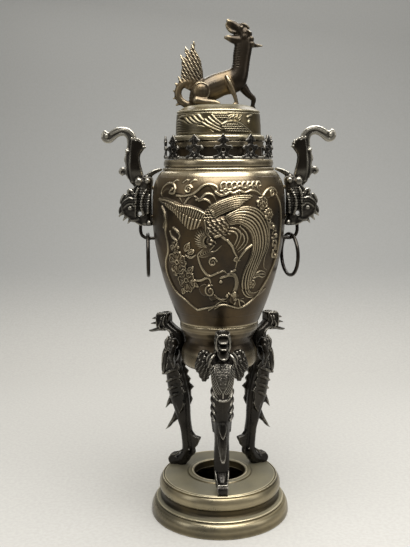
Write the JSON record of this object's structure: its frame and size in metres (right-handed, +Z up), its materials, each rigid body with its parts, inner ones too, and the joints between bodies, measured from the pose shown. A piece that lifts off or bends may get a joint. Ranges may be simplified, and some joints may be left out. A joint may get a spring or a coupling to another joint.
{
  "type": "incense burner",
  "caption": "Bronze tripod incense burner: tall vase on three beast-headed legs over a hollow moulded plinth, ringed handles, crown gallery and lift-off lid with a horned beast.",
  "frame": {"origin": "middle of the bounding box on the standing plane; the plinth's axis is 6.85 mm behind it at y = +0.00685, because the front leg's beak reaches further forward than the plinth", "axes": "+Z up along the vessel's axis, -Y the front with the relief panel and the front leg, +X the viewer's right towards the right handle"},
  "size_m": [0.2424, 0.1637, 0.5211],
  "materials": {
    "dark_bronze": "near-black brown patina, satin, worn brown on the edges",
    "brown_bronze": "dark brown patina over cast bronze, satin",
    "olive_bronze": "olive brown patina, satin with soft highlights",
    "fastener_bronze": "plain turned bronze, dulled"
  },
  "bodies": {
    "vessel": {"base_plinth": "olive_bronze", "leg_front": "dark_bronze", "leg_right": "dark_bronze", "leg_left": "dark_bronze", "foot_nut_front": "fastener_bronze", "foot_nut_right": "fastener_bronze", "foot_nut_left": "fastener_bronze", "leg_bolt_front": "fastener_bronze", "leg_bolt_right": "fastener_bronze", "leg_bolt_left": "fastener_bronze", "lower_cup": "brown_bronze", "body_bolt": "fastener_bronze", "body_nut": "fastener_bronze", "vase_body": "brown_bronze", "handle_right": "dark_bronze", "handle_left": "dark_bronze", "loop_right": "dark_bronze", "loop_left": "dark_bronze", "handle_rivet_right_lower": "fastener_bronze", "handle_rivet_right_upper": "fastener_bronze", "handle_rivet_left_lower": "fastener_bronze", "handle_rivet_left_upper": "fastener_bronze", "neck_collar": "brown_bronze", "crown_gallery": "brown_bronze"},
    "ring_left": {"ring_left": "dark_bronze"},
    "ring_right": {"ring_right": "dark_bronze"},
    "lid": {"lid_rim": "olive_bronze", "lid_drum": "olive_bronze", "finial_beast": "brown_bronze", "finial_screw_1": "fastener_bronze", "finial_screw_2": "fastener_bronze"}
  },
  "joints": [
    {"name": "lid_lift", "type": "slide", "parent": "vessel", "child": "lid", "axis": [0, 0, 1], "range_m": [0, 0.06]},
    {"name": "ring_left_swing", "type": "hinge", "parent": "vessel", "child": "ring_left", "pos_m": [-0.0745, 0.00685, 0.29952], "axis": [0.9962, 0.0872, 0], "range_deg": [-50, 50]},
    {"name": "ring_right_swing", "type": "hinge", "parent": "vessel", "child": "ring_right", "pos_m": [0.0745, 0.00685, 0.29952], "axis": [0.9511, 0.309, 0], "range_deg": [-50, 20]}
  ]
}
